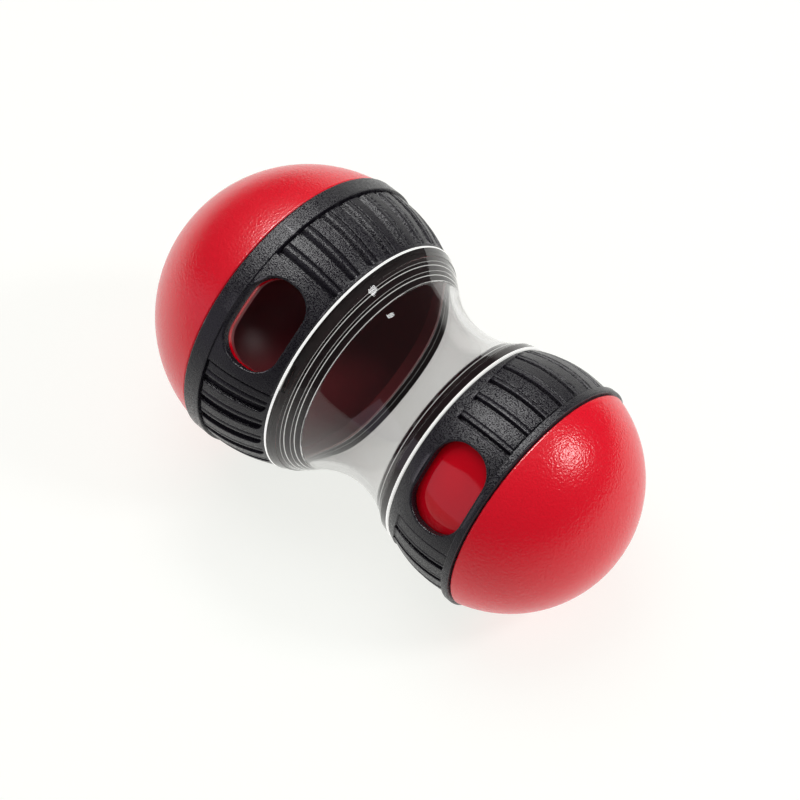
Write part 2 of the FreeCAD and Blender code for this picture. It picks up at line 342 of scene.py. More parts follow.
# %% The faces of the clear wall
def wall_height(x, depth):
    """How far from the axis a face of the wall lies, x along it from the big ball's centre."""
    for end, s in ((big, x), (small, SPACING - x)):
        join = (end.ball_radius - depth) * reach_of_neck(end, NECK_RADIUS) / (end.ball_radius + NECK_RADIUS)
        if s < join:
            return height_on_ball(end.ball_radius - depth, s)
    return WAIST_RADIUS + NECK_RADIUS - height_on_ball(NECK_RADIUS + depth, x - WAIST_PLACE)


def from_big(end, s):
    """The same place, measured from the big ball's centre."""
    return s if end is big else SPACING - s


print("the waist is", round(wall_height(WAIST_PLACE, 0) / MM, 2), "mm from the axis")

# %% The corners of a clear mouth
TAB_HEIGHT = 1.1 * MM
TAB_THICKNESS = 1.2 * MM
FOOT_ROUND = 0.12
LIP_ROUND = 0.6
TAB_ROUND = 0.15
HOLLOW_ROUND = 0.1
TERRACE_ROUND = 0.25


def mouth(end, tab):
    """Corners of a clear mouth, from the foot of its flange round the rim to the inside of the wall."""
    foot = end.rim + FLANGE_LENGTH
    outside = wall_height(from_big(end, foot), 0)
    tab_radius = end.mouth_radius - (TAB_HEIGHT if tab else 0)
    seat = end.rim + SPIGOT_LENGTH
    corners = [
        corner(foot, outside, FOOT_ROUND), corner(foot, outside + FLANGE_STEP, FOOT_ROUND),
        corner(end.rim, end.flange_radius, LIP_ROUND), corner(end.rim, end.mouth_radius),
        corner(end.rim, tab_radius, TAB_ROUND), corner(end.rim + TAB_THICKNESS, tab_radius, TAB_ROUND),
        corner(end.rim + TAB_THICKNESS, end.mouth_radius), corner(seat, end.mouth_radius, HOLLOW_ROUND),
    ]
    for _ in range(TERRACES):
        step = wall_height(from_big(end, seat + end.terrace_length), CLEAR_WALL) + TERRACE_STEP
        corners.append(corner(seat, step, TERRACE_ROUND))
        corners.append(corner(seat + end.terrace_length, step, HOLLOW_ROUND))
        seat += end.terrace_length
    corners.append(corner(seat, wall_height(from_big(end, seat), CLEAR_WALL), TERRACE_ROUND))
    return corners


print("a mouth has", len(mouth(big, False)), "corners")

# %% The clear body's section
WALL_STEPS = 44


def clear_section(tab):
    """The whole section: outside of the wall, small mouth, inside of the wall, big mouth."""
    big_mouth, small_mouth = mouth(big, tab), mouth(small, tab)
    small_mouth = [(SPACING - s, r, turn, rounding) for s, r, turn, rounding in small_mouth]

    def wall(start, stop, depth):
        places = [start + (stop - start) * step / WALL_STEPS for step in range(1, WALL_STEPS)]
        return [corner(x, wall_height(x, depth)) for x in places]

    outside = wall(big_mouth[0][0], small_mouth[0][0], 0)
    inner = wall(small_mouth[-1][0], big_mouth[-1][0], CLEAR_WALL)
    return rounded(outside + small_mouth + inner + big_mouth[::-1])


plain_section, tab_section = clear_section(False), clear_section(True)
print("sections of", len(plain_section), "and", len(tab_section), "points")

# %% The clear body, turned
CLEAR_TURNS = 360
TABS = 3
TAB_WIDTH = 14.0
COUPLING_ANGLE = 57.0

tab_spans = [
    (COUPLING_ANGLE + 360 / TABS * index - TAB_WIDTH / 2, TAB_WIDTH) for index in range(TABS)
]
sections = []
for turn, tab in stepped_turns(CLEAR_TURNS, tab_spans):
    section = tab_section if tab else plain_section
    sections.append([big.point(x, r, turn) for x, r, _ in section])
clear_body = round_piece("clear_moulding", sections)
shade(clear_body, sharp_from=50)
print("clear body", len(sections), "sections")

# %% [markdown]
# Three things show in a clear mouth. Its rim ends in a lip, and the bright thin line beside each black
# band is a painted highlight on it: a pale, faintly glowing finish. Its bore lies round the red sleeve's
# spigot, and there and at the steps behind it the red shows through the plastic in deep shade, which is
# painted as a dark red film. The small round corners of those steps catch the light as fine lines, and
# get the lip's painted highlight too. So each face of the mesh is given one of three materials by where
# it lies and how straight it faces the axis, which is simpler than cutting the piece up.

# %% Sort the clear body's faces
# The second kind gets a painted shade, a dark red film; the third a painted highlight, a pale glowing
# finish.
CLEAR, PAINTED_SHADE, PAINTED_HIGHLIGHT = range(3)
LIP = 0.8 * MM
FACES_AXIS = 0.97
LEANS_IN = 0.15


def kind_of_face(face):
    for end in (big, small):
        s = (face.center - end.centre).dot(end.along)
        outwards = face.center - end.centre - end.along * s
        r = outwards.length
        steps_end = end.rim + SPIGOT_LENGTH + TERRACES * end.terrace_length
        inwards = -face.normal.dot(outwards / r)
        if end.rim < s < steps_end and inwards > FACES_AXIS:
            return PAINTED_SHADE
        if end.rim + LIP < s < steps_end and inwards > LEANS_IN:
            return PAINTED_HIGHLIGHT
        if s < end.rim + LIP and r > end.flange_radius - LIP:
            return PAINTED_HIGHLIGHT
    return CLEAR


for face in clear_body.data.polygons:
    face.material_index = kind_of_face(face)
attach(clear_body, "clear")
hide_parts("clear_body")
print("clear body", len(clear_body.data.polygons), "faces")

# %% [markdown]
# Each black band is a slice of a hollow ball. A smooth collar runs round its edge at the dome, a smooth
# plate frames the outlet, and the rest is a grip: flat lands, and between them a fine line, a rounded
# ridge and a deep groove that is steep beside the land and slopes up to the ridge. The grooves of the
# big band close to a tip beside the ridge. A narrow notch parts the grip from the collar. A mould leaves
# every edge a little round, and those soft edges make the ribs glint. They could be cut with booleans
# and bevelled. It is cleaner to lay the columns of the mesh where the edges are and to sink each column
# to its depth: share of a rib's step, and depth in millimetres, as the valley of each end lists them.

# %% Columns of a land
EDGE = 0.32 * MM
LAND_COLUMNS = 4


class Column:
    """One turn of a band: how far it rises to the plate, and how deep it lies below the lands."""

    def __init__(self, turn, plate=0.0, depth=0.0, tip=None):
        self.turn = turn
        self.plate = plate
        self.depth = depth
        self.tip = turn if tip is None else tip
        self.room = False


def degrees(end, length):
    return math.degrees(length / end.land_radius)


def land_columns(end, start, stop, tip):
    """A flat land between two round edges; its first edge belongs to the groove before it."""
    quarter = [math.pi / 2 * step / ROUND_STEPS for step in range(ROUND_STEPS + 1)]
    edge = [(degrees(end, EDGE * (1 - math.sin(angle))), EDGE * (1 - math.cos(angle))) for angle in quarter]
    columns = [Column(start + turn, depth=depth, tip=tip) for turn, depth in reversed(edge)]
    half = (stop - start) / 2 - degrees(end, EDGE)
    for step in range(1, LAND_COLUMNS):
        off = half * (2 * step / LAND_COLUMNS - 1)
        chord = math.cos(math.radians(half)) / math.cos(math.radians(off))
        columns.append(Column((start + stop) / 2 + off, depth=end.land_radius * (1 - chord)))
    return columns + [Column(stop - turn, depth=depth) for turn, depth in edge]


print("a land has", len(land_columns(big, 0, 4, None)), "columns")

# %% Columns round a band
PLATE_EDGE = 0.3 * MM
PLATE_COLUMNS = 32
PLATE_SHOULDER = 0.6
FIRST_INSET = 1.5
LAST_INSET = 0.6
LAST_DEPTH = 0.2 * MM


def band_columns(end):
    """All the columns of a band, from the edge of its plate once round."""
    half = end.plate_width / 2
    edge = degrees(end, PLATE_EDGE)
    first = end.window_turn - half
    columns = [
        Column(first + edge / 2 + (2 * half - edge) * step / PLATE_COLUMNS, plate=1.0)
        for step in range(PLATE_COLUMNS + 1)
    ]
    first += 2 * half
    columns += [Column(first, plate=PLATE_SHOULDER), Column(first + edge / 2)]
    period = (360 - end.plate_width) / end.rib_count
    tip = None
    for index in range(end.rib_count):
        start = first + period * index
        land_start = start + (degrees(end, FIRST_INSET * EDGE) if index == 0 else 0)
        stop = start + end.land_share * period
        columns += land_columns(end, land_start, stop, tip)
        tip = stop + end.crest * period if end.pointed else None
        for share, depth in end.valley:
            in_groove = share > end.crest
            columns.append(Column(stop + share * period, depth=depth * MM, tip=tip if in_groove else None))
    last = first + period * end.rib_count
    columns += [Column(last - LAST_INSET * edge, depth=LAST_DEPTH), Column(last, plate=PLATE_SHOULDER)]
    return columns


print("bands of", len(band_columns(big)), "and", len(band_columns(small)), "columns")

# %% [markdown]
# Along the band, the rows of the mesh crowd together wherever the surface changes: at the foot of the
# collar, where the notch lies, at the tips of the grooves, and where the ribs sink into the front edge.
# Each row says how much of the ribs is left there and how deep the notch is.

# %% Rows along a band
FIELD_ROWS = 8
GROOVE_TIP = 2.0 * MM
FRONT_MARGIN = 0.6 * MM
TIP_ROWS = (0.0, 0.3, 0.55, 0.75, 0.87)
END_ROWS = ((-0.25, 1.0), (-0.15, 0.75), (-0.05, 0.3), (0.05, 0.06), (0.15, 0.0))
FOOT_ROWS = ((0.0, 0.9), (0.3, 0.9), (0.4, 0.75), (0.48, 0.4), (0.58, 0.17), (0.72, 0.05), (0.95, 0.0))


def field_rows(end, column):
    """Rows from the collar to the front edge (place, ribs left, notch), and where the field ends."""
    lean = end.field_lean * math.cos(math.radians(column.turn - end.window_turn))
    front = end.field_front - lean
    kept = 1 - min(max((end.band_front - front) / FRONT_MARGIN, 0), 1)
    front = min(front, end.band_front - FRONT_MARGIN)
    rows = [(end.collar_front + offset * MM, 1.0, notch * MM) for offset, notch in FOOT_ROWS]
    start = rows[-1][0]
    tip = front - GROOVE_TIP
    rows += [(start + (tip - start) * step / FIELD_ROWS, 1.0, 0.0) for step in range(1, FIELD_ROWS)]
    rows += [(tip + (front - tip) * part, 1.0, 0.0) for part in TIP_ROWS]
    rows += [(front + offset * MM, kept + (1 - kept) * ribs, 0.0) for offset, ribs in END_ROWS]
    rows.append((front + (end.band_front - front) / 2, kept, 0.0))
    return rows, front


def surface(end, column, s, ribs, notch):
    """How far out the band's outside lies: the ribbed field, or the smooth plate and shoulder."""
    plate = column.plate * ribs + max(column.plate, end.shoulder_raised) * (1 - ribs)
    depth = max(column.depth, notch * (1 - column.plate))
    return height_on_ball(end.land_radius + end.plate_proud * plate - depth * ribs, s)


print("a column has", len(field_rows(big, Column(0))[0]), "rows on its outside")

# %% A band's section
STOP_HEIGHT = 1.1 * MM
STOP_DEPTH = 2.0 * MM
BORE_ROWS = 8
NARROWEST = 0.2
BACK_ROUND = 0.5
COLLAR_ROUND = 0.3
FRONT_ROUND = 0.3
BORE_ROUND = 0.2


def band_section(end, column):
    """The closed section of a band at one column, with room for the stop where the column has it."""
    turn = column.turn
    room_end = end.shoulder + STOP_DEPTH + GAP
    room_radius = end.sleeve_radius + STOP_HEIGHT + GAP if column.room else end.bore
    corners = [
        corner(room_end, end.bore, turn=turn), corner(room_end, room_radius, turn=turn),
        corner(end.band_back, room_radius, turn=turn),
        corner(end.band_back, end.collar_radius, BACK_ROUND, turn),
        corner(end.collar_front, end.collar_radius, COLLAR_ROUND, turn),
    ]
    rows, front = field_rows(end, column)
    for s, ribs, notch in rows:
        closing = 1 - min(max((front - s) / GROOVE_TIP, 0), 1)
        width = max(math.sqrt(1 - closing ** 2), NARROWEST)
        drawn_in = column.tip + (turn - column.tip) * width
        corners.append(corner(s, surface(end, column, s, ribs, notch), turn=drawn_in))
    outer = surface(end, column, end.band_front, ribs, 0)
    corners.append(corner(end.band_front, outer, FRONT_ROUND, drawn_in))
    corners.append(corner(end.band_front, height_on_ball(end.bore, end.band_front), BORE_ROUND, turn))
    for step in range(1, BORE_ROWS + 1):
        s = end.band_front * (1 - step / BORE_ROWS)
        corners.append(corner(s, height_on_ball(end.bore, s), turn=turn))
    return rounded(corners)


print("a band's section has", len(band_section(big, Column(0))), "points")

# %% [markdown]
# The outlet is a rounded opening through the plate, and its outer edge is rounded all along, so that it
# doesn't scratch. The cutter that makes it is a stack of outlines: a straight shaft from inside the
# sleeve, then outlines that flare along a quarter circle up to the ball's surface, and one well outside.

# %% The outlet's cutter
WINDOW_CORNER = 7.8 * MM
WINDOW_EDGE = 0.7 * MM
CORNER_STEPS = 12
EDGE_STEPS = 5


def window_outline(end, margin):
    """A rounded rectangle round the outlet's middle, as places along and across the band."""
    half_s = end.window_height / 2 + margin
    half_t = end.window_length / 2 + margin
    radius = WINDOW_CORNER + margin
    outline = []
    for quarter, (sign_s, sign_t) in enumerate(((1, 1), (-1, 1), (-1, -1), (1, -1))):
        for step in range(CORNER_STEPS + 1):
            angle = math.pi / 2 * (quarter + step / CORNER_STEPS)
            outline.append((
                sign_s * (half_s - radius) + radius * math.cos(angle),
                sign_t * (half_t - radius) + radius * math.sin(angle),
            ))
    return outline


def window_ring(end, level):
    """One outline of the cutter: below 0 inside the sleeve, past EDGE_STEPS outside the ball."""
    out, across = radial(end.window_turn), radial(end.window_turn + 90)
    middle = end.centre + end.along * end.window_place
    angle = math.pi / 2 * min(max(level, 0), EDGE_STEPS) / EDGE_STEPS
    margin = WINDOW_EDGE * (1 - math.cos(angle)) + (WINDOW_EDGE if level > EDGE_STEPS else 0)
    ring = []
    for s, t in window_outline(end, margin):
        place = end.window_place + s * end.along.dot(AXIS)
        height = math.sqrt(end.plate_radius ** 2 - place ** 2 - t ** 2) - WINDOW_EDGE * (1 - math.sin(angle))
        if level < 0:
            height = end.bore / 2
        if level > EDGE_STEPS:
            height = end.plate_radius + WINDOW_EDGE
        ring.append(middle + AXIS * s + out * height + across * t)
    return ring


def window_cutter(end, name):
    rings = [window_ring(end, level) for level in range(-1, EDGE_STEPS + 2)]
    count = len(rings[0])
    places = [place for ring in rings for place in ring]
    faces = [list(range(count))[::-1], [len(places) - count + index for index in range(count)]]
    for level in range(len(rings) - 1):
        for index in range(count):
            after = (index + 1) % count
            low, high = level * count, (level + 1) * count
            faces.append((low + index, low + after, high + after, high + index))
    return closed_piece(name, places, faces)


print("the outlet's outline has", len(window_outline(big, 0)), "points")


# %% Open the outlet
def open_outlet(piece, cutter):
    """Cut the outlet for good, so that the mesh needs no cutter beside it."""
    cut = piece.modifiers.new("outlet", "BOOLEAN")
    cut.operation = "DIFFERENCE"
    cut.solver = "EXACT"
    cut.object = cutter
    whole = piece.evaluated_get(bpy.context.evaluated_depsgraph_get())
    opened = bpy.data.meshes.new_from_object(whole)
    piece.modifiers.clear()
    piece.data = opened
    bpy.data.objects.remove(cutter)


# %% Both bands
STOP_WIDTH = 6.0
STOP_PLAY = 0.5


def make_band(end, name, body, node):
    columns = band_columns(end)
    spans = [(
        end.window_turn + 180 - end.close_turn - STOP_WIDTH / 2 - STOP_PLAY,
        end.close_turn + STOP_WIDTH + 2 * STOP_PLAY,
    )]
    sections = []

    def add_section(column, room):
        column.room = room
        sections.append([end.point(s, r, turn) for s, r, turn in band_section(end, column)])

    was_inside = inside(columns[-1].turn, spans)
    for column in columns:
        now_inside = inside(column.turn, spans)
        if now_inside != was_inside:
            add_section(column, was_inside)
        add_section(column, now_inside)
        was_inside = now_inside
    piece = round_piece(name, sections)
    open_outlet(piece, window_cutter(end, name + "_cutter"))
    shade(piece, sharp_from=40)
    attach(piece, body)
    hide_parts(node)
    print(name, len(columns), "columns", len(piece.data.polygons), "faces")
    return piece


big_band = make_band(big, "big_grip", "big_adjuster", "big_band")
small_band = make_band(small, "small_grip", "small_adjuster", "small_band")

# %% [markdown]
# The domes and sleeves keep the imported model's own meshes, whose shape is right. They only need smooth
# shading: faces blend into each other, except across an edge that really is one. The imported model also
# stores a shading direction for every corner of every face. At a dome's pole, where long thin faces
# meet, those are up to 27 degrees off, which shows as a speck. Blender's usual stored form is relative
# to the faces, so it can't mend that. Free directions can: round the pole they are the ball's own.

# %% Smooth the pieces that stay
for name in ("big_dome", "small_dome", "big_sleeve", "small_sleeve"):
    smooth(nodes[name].data, sharp_from=30)
    print(name, len(nodes[name].data.polygons), "faces")

# %% Shade the domes' poles as a ball
POLE = 3 * MM
SKIN = 1 * MM


def shade_pole(dome, end):
    mesh, place = dome.data, dome.matrix_world
    back = place.inverted().to_3x3()
    directions = [normal.vector.copy() for normal in mesh.corner_normals]
    for index, loop in enumerate(mesh.loops):
        from_centre = place @ mesh.vertices[loop.vertex_index].co - end.centre
        if from_centre.cross(AXIS).length < POLE:
            outside = from_centre.length > end.ball_radius - SKIN
            directions[index] = back @ from_centre.normalized() * (1 if outside else -1)
    stored = mesh.attributes.get("custom_normal")
    if stored is not None:
        mesh.attributes.remove(stored)
    free = mesh.attributes.new("custom_normal", "FLOAT_VECTOR", "CORNER")
    free.data.foreach_set("vector", [part for direction in directions for part in direction])
    print(dome.name, len(directions), "corners")


shade_pole(nodes["big_dome"], big)
shade_pole(nodes["small_dome"], small)

# %% [markdown]
# Colours are easiest to judge as the numbers that a picture shows, from 0 to 255, but a shader wants
# linear light. A small helper turns one into the other, so that every colour can be written the way a
# paint program shows it. Materials and the room's light are both built of nodes, and wiring nodes takes
# many short lines, so one class holds the few kinds of wiring that this lesson repeats. A plastic adds
# Blender's main shader to it, which carries colour, roughness, gloss and clear plastic in one node.
# Each finish is then made in its own step and given to its pieces there.

# %% Colours
def shown(red, green, blue):
    def linear(level):
        part = level / 255
        return part / 12.92 if part <= 0.04045 else ((part + 0.055) / 1.055) ** 2.4

    return (linear(red), linear(green), linear(blue), 1.0)


WHITE = shown(254, 255, 250)
print("white is", [round(part, 3) for part in WHITE])


# %% Short ways to wire nodes
class Wiring:
    """A node tree, and short ways to add nodes to it."""

    def __init__(self, tree):
        self.tree = tree

    def add(self, kind, **inputs):
        node = self.tree.nodes.new(kind)
        for name, value in inputs.items():
            node.inputs[name].default_value = value
        return node

    def link(self, output, socket):
        self.tree.links.new(output, socket)

    def combine(self, how, first, second):
        node = self.add("ShaderNodeMath")
        node.operation = how
        self.link(first, node.inputs[0])
        self.link(second, node.inputs[1])
        return node.outputs["Value"]

    def vector(self, how, value, other=None):
        """Vector maths on a value and, where it takes two, a fixed vector."""
        node = self.add("ShaderNodeVectorMath")
        node.operation = how
        self.link(value, node.inputs[0])
        if other is not None:
            node.inputs[1].default_value = other
        return node

    def ramp(self, value, low, high, first=0.0, last=1.0):
        """Runs from first to last while the value goes from low to high."""
        ramp = self.add("ShaderNodeMapRange")
        ramp.interpolation_type = "SMOOTHSTEP"
        for name, number in zip(("From Min", "From Max", "To Min", "To Max"), (low, high, first, last)):
            ramp.inputs[name].default_value = number
        self.link(value, ramp.inputs["Value"])
        return ramp.outputs["Result"]

    def blend(self, part, first, second):
        """The first colour where part is 0, the second where it is 1."""
        mix = self.add("ShaderNodeMix")
        mix.data_type = "RGBA"
        mix.inputs["A"].default_value = first
        mix.inputs["B"].default_value = second
        self.link(part, mix.inputs["Factor"])
        return mix.outputs["Result"]

    def either(self, part, first, second):
        """The first shader where part is 0, the second where it is 1."""
        mix = self.add("ShaderNodeMixShader")
        self.link(part, mix.inputs["Fac"])
        self.link(first, mix.inputs[1])
        self.link(second, mix.inputs[2])
        return mix.outputs["Shader"]


# %% A plain plastic
class Plastic(Wiring):
    """A new material with its main shader."""

    def __init__(self, name, colour, roughness):
        self.material = bpy.data.materials.new(name)
        self.material.use_nodes = True
        super().__init__(self.material.node_tree)
        self.shader = self.tree.nodes["Principled BSDF"]
        self.set("Base Color", colour)
        self.set("Roughness", roughness)
        self.place = self.add("ShaderNodeTexCoord").outputs["Object"]

    def set(self, socket, value):
        self.shader.inputs[socket].default_value = value

    def vary(self, socket, output):
        self.link(output, self.shader.inputs[socket])

    def noise(self, grain, detail):
        """Noise whose blots are about as wide as grain."""
        noise = self.add("ShaderNodeTexNoise", Scale=1 / grain, Detail=detail)
        self.link(self.place, noise.inputs["Vector"])
        return noise.outputs["Fac"]

    def bump(self, height, strength, depth, under=None):
        bump = self.add("ShaderNodeBump", Strength=strength, Distance=depth)
        self.link(height, bump.inputs["Height"])
        if under:
            self.link(under, bump.inputs["Normal"])
        return bump.outputs["Normal"]


# %% Dress a piece
def dress(piece, *materials):
    """Give a piece its finish in place of what it came with. Sorted faces stay sorted."""
    kinds = [face.material_index for face in piece.data.polygons]
    piece.data.materials.clear()
    for material in materials:
        piece.data.materials.append(material)
    if len(materials) > 1:
        piece.data.polygons.foreach_set("material_index", kinds)
    print(piece.name, "has", [material.name for material in materials])


# %% [markdown]
# Inside, the red mouldings are never polished, and they stay in the shade of the bands, so they read as
# a dull dark maroon through the clear body. That shade is painted: the inside gets a dark maroon colour
# in place of the red. The colour changes by where a face lies on its piece: in from a ball radius, or
# past a place along the axis. Both are measured from the ball's centre in the piece's own space, so the
# change stays put when the piece turns.

# %% Which side of a moulding shows
# Painted shade: the dark maroon of the shaded inside.
PAINTED_INSIDE_SHADE = shown(128, 46, 52)
CHANGE = 0.1 * MM


def inner_side(plastic, end, radius, front):
    """1 on faces that lie within a radius of the ball's centre or past a place towards the waist."""
    offset = plastic.vector("SUBTRACT", plastic.place, end.centre).outputs["Vector"]
    length = plastic.vector("LENGTH", offset).outputs["Value"]
    along = plastic.vector("DOT_PRODUCT", offset, end.along).outputs["Value"]
    deep = plastic.ramp(length, radius - CHANGE, radius + CHANGE, 1.0, 0.0)
    past = plastic.ramp(along, front - CHANGE, front + CHANGE)
    return plastic.combine("MAXIMUM", deep, past)


# %% [markdown]
# The domes are red plastic with a fine leathery grain. The mould was etched, which breaks the lamp's
# reflection into small bright grains instead of one clear spot. The grain is too fine to model, about
# 0.6 mm, so a bump does it: cells for the leather, with finer noise on top. A thin sheen stands for the
# pale bloom that such a grained surface shows where it is seen at a shallow angle.

# %% Grained red
RED = shown(232, 2, 34)
GRAIN = 0.6 * MM
GRAIN_STRENGTH = 0.7
INSIDE_STRENGTH = 0.1
DOME_SKIN = 1.2 * MM


def end_name(end):
    return "big" if end is big else "small"


def grained_red(end):
    plastic = Plastic(end_name(end) + "_grained_red", RED, roughness=0.26)
    cells = plastic.add("ShaderNodeTexVoronoi", Scale=1 / GRAIN)
    cells.feature = "SMOOTH_F1"
    plastic.link(plastic.place, cells.inputs["Vector"])
    wander = plastic.noise(1.6 * GRAIN, detail=3.0)
    height = plastic.combine("ADD", cells.outputs["Distance"], wander)
    grain = plastic.bump(height, GRAIN_STRENGTH, depth=0.12 * MM)
    side = inner_side(plastic, end, end.ball_radius - DOME_SKIN, end.rim)
    strength = plastic.ramp(side, 0.0, 1.0, GRAIN_STRENGTH, INSIDE_STRENGTH)
    plastic.link(strength, grain.node.inputs["Strength"])
    plastic.vary("Normal", grain)
    # Painted shade: the inner faces take the dark maroon in place of the red.
    plastic.vary("Base Color", plastic.blend(side, RED, PAINTED_INSIDE_SHADE))
    plastic.set("Sheen Weight", 0.15)
    plastic.set("Sheen Roughness", 0.2)
    plastic.set("Sheen Tint", shown(255, 235, 240))
    return plastic.material


dress(nodes["big_dome"], grained_red(big))
dress(nodes["small_dome"], grained_red(small))

# %% [markdown]
# The sleeves are polished, because the bands turn on them, and through the closed outlet one sees that
# gloss: a mirror-like patch of the studio on deep red. Very slight waves, wider than a finger's print,
# keep the mirror from being perfect.

# %% Polished red
DEEP_RED = shown(208, 2, 26)
POLISHED, UNPOLISHED = 0.06, 0.35


def polished_red(end):
    plastic = Plastic(end_name(end) + "_polished_red", RED, POLISHED)
    waves = plastic.noise(9 * MM, detail=0.0)
    plastic.vary("Normal", plastic.bump(waves, strength=0.1, depth=0.3 * MM))
    side = inner_side(plastic, end, end.sleeve_radius - SLEEVE_WALL / 2, end.band_front)
    # Painted shade: the inner faces take the dark maroon in place of the red.
    plastic.vary("Base Color", plastic.blend(side, DEEP_RED, PAINTED_INSIDE_SHADE))
    plastic.vary("Roughness", plastic.ramp(side, 0.0, 1.0, POLISHED, UNPOLISHED))
    return plastic.material


dress(nodes["big_sleeve"], polished_red(big))
dress(nodes["small_sleeve"], polished_red(small))

# %% [markdown]
# The bands are black plastic with a matte, speckled grain that glitters where the lamp strikes it. Two
# noises make the bump, one about as fine as sand and one like orange peel, and a little of the fine one
# goes into the roughness, so that some grains shine more than others. Sharp edges get a painted
# highlight: a greyer colour for the thin bright lines that they catch. Pointiness, which is high where
# the surface bends sharply, finds them.

# %% Speckled black
# The second colour is a painted highlight for sharp edges.
BLACK, PAINTED_EDGE_HIGHLIGHT = shown(22, 19, 27), shown(86, 83, 88)
SAND = 0.35 * MM
PEEL = 4 * SAND


def speckled_black():
    plastic = Plastic("speckled_black", BLACK, roughness=0.4)
    sand = plastic.noise(SAND, detail=1.0)
    peel = plastic.noise(PEEL, detail=2.0)
    below = plastic.bump(peel, strength=0.5, depth=0.1 * MM)
    plastic.vary("Normal", plastic.bump(sand, strength=1.0, depth=0.11 * MM, under=below))
    plastic.vary("Roughness", plastic.ramp(sand, 0.38, 0.62, 0.48, 0.15))
    plastic.set("Specular IOR Level", 0.42)
    # Painted highlight: the colour turns grey where pointiness marks a sharp edge.
    edge = plastic.ramp(plastic.add("ShaderNodeNewGeometry").outputs["Pointiness"], 0.532, 0.57)
    plastic.vary("Base Color", plastic.blend(edge, BLACK, PAINTED_EDGE_HIGHLIGHT))
    return plastic.material


black = speckled_black()
dress(big_band, black)
dress(small_band, black)

# %% [markdown]
# The clear plastic is one shader with full transmission. Light that goes through it towards a lamp would
# be lost in a plain render, because a shadow ray stops at any surface, so shadow rays see a transparent
# surface instead, a trick that keeps the inside as bright as it is in daylight.

# %% Clear plastic
def clear_plastic():
    plastic = Plastic("clear_plastic", shown(243, 242, 242), roughness=0.0)
    plastic.set("Transmission Weight", 1.0)
    plastic.set("IOR", 1.5)
    waves = plastic.noise(14 * MM, detail=0.0)
    plastic.vary("Normal", plastic.bump(waves, strength=0.1, depth=0.3 * MM))
    shadow = plastic.add("ShaderNodeLightPath").outputs["Is Shadow Ray"]
    through = plastic.add("ShaderNodeBsdfTransparent").outputs["BSDF"]
    mix = plastic.either(shadow, plastic.shader.outputs["BSDF"], through)
    plastic.link(mix, plastic.tree.nodes["Material Output"].inputs["Surface"])
    return plastic.material


# %% [markdown]
# Two more finishes belong to the clear mouths, and both are painted light. Round the sleeve's spigot the
# red shows through in deep shade, so those faces get a painted shade: a dark red film, with noise
# streaks that vary it. The lip and the small rounds get a painted highlight: a pale, rough, partly clear
# finish for the bright lines that they show. A faint emission makes the lip glow by itself, painted light
# that stands for light that runs inside a clear wall and leaves at its edge. The clear body then gets its
# three finishes, in the order in which its faces were sorted.

# %% The painted shade where the red shows through
def painted_spigot_shade():
    # Painted shade: dark reds, streaked by noise, for the shaded spigot seen through the clear plastic.
    dark, light = shown(12, 5, 7), shown(44, 17, 22)
    plastic = Plastic("painted_spigot_shade", dark, roughness=0.5)
    streaks = plastic.noise(6 * MM, detail=2.0)
    plastic.vary("Base Color", plastic.blend(streaks, dark, light))
    return plastic.material


# %% The lip's painted highlight
def painted_lip_highlight():
    # Painted highlight: a pale, partly clear finish with a faint emission, so the lip glows although it is
    # no lamp.
    plastic = Plastic("painted_lip_highlight", shown(250, 248, 248), roughness=0.5)
    frost = plastic.noise(0.5 * MM, detail=2.0)
    plastic.vary("Roughness", plastic.ramp(frost, 0.3, 0.7, 0.35, 0.6))
    plastic.set("Transmission Weight", 0.25)
    plastic.set("Emission Color", WHITE)
    plastic.set("Emission Strength", 0.5)
    return plastic.material


dress(clear_body, clear_plastic(), painted_spigot_shade(), painted_lip_highlight())

# %% [markdown]
# The dispenser lies on a white table. In the picture the table melts into a white background with only a
# faint shadow. The floor is therefore a pale grey that also glows a little, so that floor and lamp light
# add up to just about white, and the shadow still shows as slightly darker. A studio table is brighter
# towards its lit back than in front, where the camera stands, and the object's underside mirrors that,
# so the rays that leave the object meet a table that fades from back to front.

# %% Directions in the studio
def direction_of(azimuth, elevation):
    """Azimuth 0 is the front, -Y, and 90 is +X."""
    a, e = math.radians(azimuth), math.radians(elevation)
    return Vector((math.sin(a) * math.cos(e), -math.cos(a) * math.cos(e), math.sin(e)))


print("from the right", [round(part, 2) for part in direction_of(90, 0)])

# %% Floor
FLOOR_RADIUS = 0.9
FLOOR_DROP = 0.3 * MM
FLOOR_GREY = (0.25, 0.25, 0.25, 1)
SEEN_GLOW, THROUGH_GLOW = 0.79, 0.62
FRONT_GLOW, BACK_GLOW = 0.18, 0.9
FADE_LENGTH = 0.25
FADE_AZIMUTH = 20

bpy.ops.mesh.primitive_circle_add(
    vertices=96, radius=FLOOR_RADIUS, fill_type="NGON", location=(0, 0, -FLOOR_DROP))
floor = bpy.context.object
floor.name = "floor"
table = Plastic("floor", FLOOR_GREY, roughness=1.0)
table.set("Specular IOR Level", 0.0)
table.set("Emission Color", WHITE)
forwards = table.vector("DOT_PRODUCT", table.place, direction_of(FADE_AZIMUTH, 0)).outputs["Value"]
glow = table.ramp(forwards, 0.0, FADE_LENGTH, BACK_GLOW, FRONT_GLOW)
path = table.add("ShaderNodeLightPath")
for ray, level in (("Is Camera Ray", SEEN_GLOW), ("Is Transmission Ray", THROUGH_GLOW)):
    mix = table.add("ShaderNodeMix", B=level)
    table.link(glow, mix.inputs["A"])
    table.link(path.outputs[ray], mix.inputs["Factor"])
    glow = mix.outputs["Result"]
table.vary("Emission Strength", glow)
floor.data.materials.append(table.material)
print("floor", FLOOR_RADIUS, "m")

